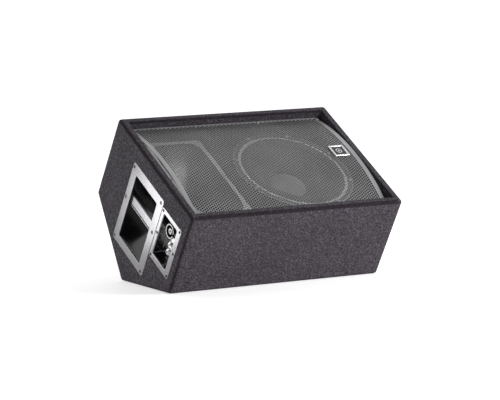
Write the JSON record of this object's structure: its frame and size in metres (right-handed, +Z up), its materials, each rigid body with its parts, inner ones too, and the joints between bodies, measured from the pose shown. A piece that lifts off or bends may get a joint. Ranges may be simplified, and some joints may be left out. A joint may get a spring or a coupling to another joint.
{
  "type": "stage monitor wedge",
  "caption": "Carpeted floor monitor loudspeaker with a tilted perforated grille, a recessed carrying handle and an input dish.",
  "frame": {"origin": "on the floor, under the middle of the cabinet's box", "axes": "+Z up; +X along the cabinet, from the handle end to the plain end; the speaker face looks towards -Y and up, leaning back 30 degrees"},
  "size_m": [0.597, 0.4592, 0.3934],
  "materials": {
    "carpet": "charcoal needle-punched carpet, matt, with a fine light fleck",
    "plywood": "bare cabinet plywood",
    "black_paint": "plywood in flat black paint",
    "plate_steel": "light grey satin steel",
    "trough_plastic": "smooth gloss black moulding",
    "screw_steel": "dark plated screw",
    "grille_steel": "grey semi-gloss perforated steel",
    "badge_silver": "bright satin metal",
    "badge_black": "gloss black inset with a plain light shape",
    "socket_plastic": "black moulded plastic",
    "jack_nickel": "bright nickel",
    "horn_plastic": "black moulded horn",
    "driver_steel": "black enamelled steel",
    "ferrite": "dark grey ferrite",
    "driver_rubber": "black rubbery cloth",
    "paper_cone": "dark pressed paper",
    "spider_cloth": "resin-stiffened tan cloth",
    "copper_wire": "enamelled copper winding",
    "diaphragm_foil": "thin metal foil",
    "circuit_board": "brown crossover board",
    "capacitor_film": "blue film capacitor",
    "ceramic": "off-white ceramic",
    "lead_jacket": "black wire jacket"
  },
  "bodies": {
    "root": {"front_panel": "plywood", "floor_panel": "plywood", "lower_back_panel": "plywood", "upper_back_panel": "plywood", "right_end_panel": "plywood", "left_end_panel": "plywood", "baffle_board": "black_paint", "grille_batten_top": "black_paint", "grille_screw_top_1": "screw_steel", "grille_screw_top_2": "screw_steel", "grille_screw_top_3": "screw_steel", "grille_screw_top_4": "screw_steel", "grille_batten_bottom": "black_paint", "grille_screw_bottom_1": "screw_steel", "grille_screw_bottom_2": "screw_steel", "grille_screw_bottom_3": "screw_steel", "grille_screw_bottom_4": "screw_steel", "grille": "grille_steel", "badge_frame": "badge_silver", "badge_insert": "badge_black", "carpet_wrap": "carpet", "carpet_right_end": "carpet", "carpet_left_end": "carpet", "handle_plate": "plate_steel", "handle_trough": "trough_plastic", "handle_grip": "plate_steel", "handle_screw_1": "screw_steel", "handle_screw_2": "screw_steel", "handle_screw_3": "screw_steel", "handle_screw_4": "screw_steel", "handle_screw_5": "screw_steel", "handle_screw_6": "screw_steel", "input_plate": "plate_steel", "speaker_socket": "socket_plastic", "phone_jack_1": "jack_nickel", "phone_jack_2": "jack_nickel", "woofer_basket": "driver_steel", "woofer_gasket": "driver_rubber", "woofer_surround": "driver_rubber", "woofer_spider": "spider_cloth", "woofer_top_plate": "driver_steel", "woofer_magnet": "ferrite", "woofer_yoke": "driver_steel", "horn": "horn_plastic", "hf_magnet_assembly": "driver_steel", "hf_rear_cover": "socket_plastic", "crossover_board": "circuit_board", "crossover_coil_low": "copper_wire", "crossover_coil_high": "copper_wire", "crossover_capacitor_low": "capacitor_film", "crossover_capacitor_high": "capacitor_film", "crossover_resistor": "ceramic", "input_lead": "lead_jacket", "woofer_lead": "lead_jacket", "tweeter_lead": "lead_jacket"},
    "woofer_moving": {"woofer_cone": "paper_cone", "woofer_dust_cap": "paper_cone", "woofer_voice_coil": "copper_wire"},
    "hf_moving": {"hf_diaphragm": "diaphragm_foil"}
  },
  "joints": [
    {"name": "woofer_travel", "type": "slide", "parent": "root", "child": "woofer_moving", "axis": [0, -0.5, 0.866], "range_m": [-0.005, 0.005], "stiffness_N_per_m": 4000, "deforming": ["woofer_surround", "woofer_spider"]},
    {"name": "diaphragm_travel", "type": "slide", "parent": "root", "child": "hf_moving", "axis": [0, -0.5, 0.866], "range_m": [-0.0004, 0.0004], "stiffness_N_per_m": 1500}
  ]
}
